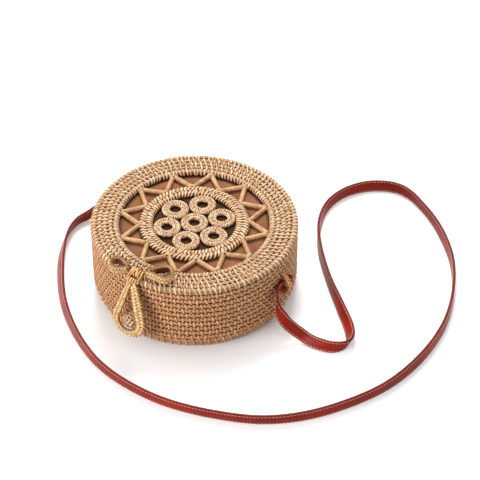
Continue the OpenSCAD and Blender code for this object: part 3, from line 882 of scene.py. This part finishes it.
def make_knot(amber, gold):
    """The bow's knot: turns about the barrel, two slanting turns, and strands round the pin."""
    s = Strands()
    barrel_r, barrel_x, wave = 3.55, 5.9, 0.45
    a = full_turn(28)
    for k, at in enumerate(np.linspace(-barrel_x, barrel_x, 6)):
        line = circle(KNOT, Y, UP, a, barrel_r - 0.02 * at * at)    # slimmer towards its ends
        line[:, 0] += at + wave * np.sin(a + k)
        s.tube(line, X, *KNOT_STRAND, closed=True)
    slant_r, slant_x = 4.3, np.linspace(-4.6, 4.6, 24)
    for lean in (-1, 1):
        line = circle(KNOT, -Y, UP, np.linspace(-0.2, math.pi + 0.4, len(slant_x)), slant_r)
        line[:, 0] += lean * slant_x
        s.tube(line, X, *SLANT_STRAND)
    way = unit(KNOT - PIN)
    reach = np.linalg.norm(KNOT - PIN) / 2 + 1.3
    for side in (-1, 1):
        centre = (PIN + KNOT) / 2 + side * 6.15 * X
        line = circle(centre, way, np.cross(way, X), full_turn(36), reach, 1.8)
        s.tube(line, X, *PIN_STRAND, closed=True)
    s.piece("bow_knot_strands", "lid", amber, ["bow_knot"], "plait")
    dress("clasp_pin", gold)


def teardrop(length, tip_r, root_r=2.4):
    """Outline of a bow loop from its root, round the tip and back, in its own plane."""
    far = length - tip_r
    lean = math.degrees(math.asin((tip_r - root_r) / (far - root_r)))
    a = np.radians(np.linspace(-90 - lean, 90 + lean, 60))
    tip = np.stack([far + tip_r * np.cos(a), tip_r * np.sin(a)], 1)
    root = np.array([0.4, 0.5]) * root_r
    return np.concatenate([[root * [1, -1]], tip, [root]])


def make_bow(faded, gold, dark_red_and_shade):
    """Two plaited loops whose back band stands higher than the front one, with a dark ribbon
    inside each for dark red colour and painted shade.
    """
    for side, length, width, turn, material in (("left", 19.5, 14, 186, faded),
                                                ("right", 25.5, 16.5, 26, gold)):
        way, across = polar(1, math.radians(turn)), polar(1, math.radians(turn + 90))
        back = 1 if across[1] > 0 else -1

        def placed(flat, start, lift):
            """The outline flat, laid start away from the knot and rising to the back."""
            high = BOW_Z + BOW_H / 2 + lift + 0.2 * (back * flat[:, 1:] + width / 2)
            return KNOT[1] * Y + (start + flat[:, :1]) * way + flat[:, 1:] * across + high * UP

        s = Strands()
        path = placed(teardrop(length, width / 2 - 1.1), start=8.3, lift=0.9)
        braid(s, path, UP, width=BOW_H + 2.3, thick=3.4, pitch=9.0)
        s.piece("bow_plait_" + side, "lid", material, ["bow_loop_" + side], "plait")
        # the dark ribbon inside the loop: dark red colour and painted shade
        s = Strands()
        path = placed(teardrop(length - 2.2, width / 2 - 2.8, root_r=1.2), start=9.4, lift=0.2)
        s.tube(path, UP, BOW_H / 2 - 0.4, 0.35, edge=np.linspace(-1, 1, 8))
        s.piece("bow_plait_" + side + "_inside", "lid", dark_red_and_shade, slot="plait")


def make_loop(gold):
    """The plaited loop hangs from the pin and leans out by its rest angle."""
    down = np.array([0, -math.sin(LOOP_LEAN), -math.cos(LOOP_LEAN)])
    out = np.cross(down, X)
    # v runs down along the loop from the pin: the round lower end, and where the arms start
    centre_v, radius = LOOP_REACH - 10.3, 12.6
    top_v, top_x = 3.0, 2.6
    bulge_right, bulge_left = 2.6, 1.2
    lean = math.degrees(math.asin((radius - top_x) / (centre_v - top_v)))
    a = np.radians(np.linspace(180 - lean, 360 + lean, 90))
    far = radius + np.where(np.cos(a) > 0, bulge_right, bulge_left) * np.cos(a) ** 2
    low = np.stack([far * np.cos(a), centre_v - far * np.sin(a)], 1)
    flat = np.concatenate([[[-top_x, top_v]], low, [[top_x, top_v]]])
    # the plait lies a little in front of the pin, clear of the wall
    front = PIN + 0.9 * out
    centre = PIN + centre_v * down

    def wide(p):
        """Direction of the plait's width: outward round the lower end, sideways on the arms."""
        rel = p - centre
        rel = rel - (rel @ out)[:, None] * out
        arm = np.sign((p - PIN)[:, :1]) * X - 0.22 * down
        return np.where((rel @ down > -6)[:, None], unit(rel), unit(arm))

    s = Strands()
    widths = [5.5, 7.0, 7.8, 7.6, 6.6, 10.5, 13.4, 12.8, 8.4]
    path = front + flat[:, :1] * X + flat[:, 1:] * down
    braid(s, path, wide, widths, thick=4.4, pitch=10.0, phase=0.8)
    pin_r = 1.95
    for at in np.linspace(-4.0, 4.0, 4):
        s.tube(circle(PIN + at * X, Y, UP, full_turn(24), pin_r), X, *LOOP_STRAND, closed=True)
    for at in (-3.1, 0.0, 3.1):     # strands that join the pin's turns to the plait
        line = front + at * X + np.linspace(1.4, 9.5, 8)[:, None] * down
        s.tube(line, X, [1.3, 1.5, 1.6, 1.6, 1.6, 1.5, 1.2, 0.8], 0.7)
    s.piece("clasp_plait", "loop", gold, ["clasp_loop"], "plait")


def make_knob(straw, cane):
    """A knotted ball of straw: three sets of turns that pass over and under one another."""
    strands = Strands()
    turn = math.radians(24)
    c, s = math.cos(turn), math.sin(turn)
    ways = np.array([[c, 0, -s], [0, 1, 0], [s, 0, c]])
    ball_r, apart, weave = 7.0, 3.5, 0.5
    a = full_turn(48)
    for k in range(3):
        axis, u, v = ways[k], ways[(k + 1) % 3], ways[(k + 2) % 3]
        for off in (-apart, 0.0, apart):
            radius = math.sqrt(ball_r ** 2 - off ** 2) + weave * np.cos(2 * a)
            line = KNOB + circle(off * axis, u, v, a, radius) * KNOB_SQUASH
            strands.tube(line, axis, *KNOB_STRAND, closed=True)
    strands.piece("knob_strands", "drum", straw, ["knob"], "straw")
    dress("knob_cord", cane)


def make_lugs(gold):
    """Plaited arches for the strap, widest in their middle."""
    arc = np.radians(np.linspace(-79, 79, 40))
    widths = [3.4, 6.0, 8.2, 9.0, 8.2, 6.0, 3.4]
    for way, side in ((1, "right"), (-1, "left")):
        s = Strands()
        path = circle([way * LUG_MID_X, 0, LUG_H], way * X, UP, arc, LUG_R)
        braid(s, path, Y, widths, thick=4.6, pitch=11.0, phase=0.4)
        s.piece("lug_plait_" + side, "drum", gold, ["strap_lug_" + side], "cane")


def make_hinges(gold):
    """Each cane ring is a rope of twisted strands."""
    ring_r, lay_r, turns, count = 8.5, 0.78, 9, 3
    t = full_turn(120)
    for way, node in ((-1, "hinge_ring_left"), (1, "hinge_ring_right")):
        s = Strands()
        for k in range(count):
            a = turns * t + TAU * k / count
            line = circle(HINGE + way * HINGE_X * X, Y, UP, t, ring_r + lay_r * np.cos(a))
            line[:, 0] += lay_r * np.sin(a)
            s.tube(line, X, *HINGE_STRAND, 7, closed=True)
        s.piece(node + "_rope", "drum", gold, [node], "cane")


# Stage

def make_stage():
    mesh = bpy.data.meshes.new("floor")
    side = np.linspace(-STAGE_HALF, STAGE_HALF, STAGE_CELLS + 1)
    faces = grid_faces(len(side), len(side))[:, ::-1].tolist()
    mesh.from_pydata([(x, y, 0.0) for x in side for y in side], [], faces)
    mesh.materials.append(floor_material())
    floor = bpy.data.objects.new("floor", mesh)
    bpy.context.collection.objects.link(floor)

    world = bpy.data.worlds.new("studio")
    world.use_nodes = True
    graph = Graph(world.node_tree)
    background = graph.tree.nodes["Background"].inputs
    graph.put(graph.mix(graph.seen_ray(), grey(0.5), grey(1.0)), background["Color"])
    background["Strength"].default_value = 1.0
    bpy.context.scene.world = world

    for name, at, power, size in LAMPS:
        data = bpy.data.lights.new(name, "AREA")
        data.energy = power
        data.size = size
        lamp = bpy.data.objects.new(name, data)
        lamp.location = at
        aim(lamp, LAMP_AIM)
        bpy.context.collection.objects.link(lamp)
    bpy.context.scene.view_settings.view_transform = "Standard"


def main():
    make_camera()
    make_strap(leather_material(), thread_material())

    side, pale, gold, amber, faded, straw, fine, dark_red_and_shade = (
        strand_material(name, *look) for name, look in STRAND_LOOKS.items())
    upright = dict(across_z=True, groove_at=(0.38, 0.58),
                   teeth=round(TAU * MID_R / WALL_STITCH["pitch"]))
    wall_core = coil_material("wall_core", *WALL_LOOK, 0.0, ROW_STEP, **upright)
    lid_core = coil_material("lid_wall_core", *WALL_LOOK, LID_Z, LID_STEP, **upright)
    floor_core = coil_material("floor_core", *FLOOR_LOOK, FLOOR_R, FLOOR_STEP)
    ring_start = OPENING_R + RING_T / 2 - RING_STEP / 2
    top_core = coil_material("ring_core", *RING_LOOK, ring_start, RING_STEP,
                             groove_at=(0.42, 0.62), rim=BAG_R - 1.4, teeth=RING_TEETH)
    inner_core = coil_material("inner_ring_core", *INNER_LOOK, INNER_R, INNER_GROOVE,
                               groove_at=(0.3, 0.6))
    cane = cane_material()

    make_drum(side, wall_core, floor_core)
    make_lid(side, pale, lid_core, top_core, inner_core)
    make_rosette(fine, speckle_material())
    make_star(cane, pale)
    lining = lining_material("lining")
    for node in ("base_lining_floor", "base_lining_wall", "lid_lining_wall"):
        dress(node, lining)
    # the lining under the open work, with painted shade on its upper face
    dress("lid_lining_top", lining_material("lining_painted_shade_under_open_work", True))
    make_knot(amber, gold)
    make_bow(faded, gold, dark_red_and_shade)
    make_loop(gold)
    make_knob(straw, cane)
    make_lugs(amber)
    make_hinges(gold)
    make_stage()


main()
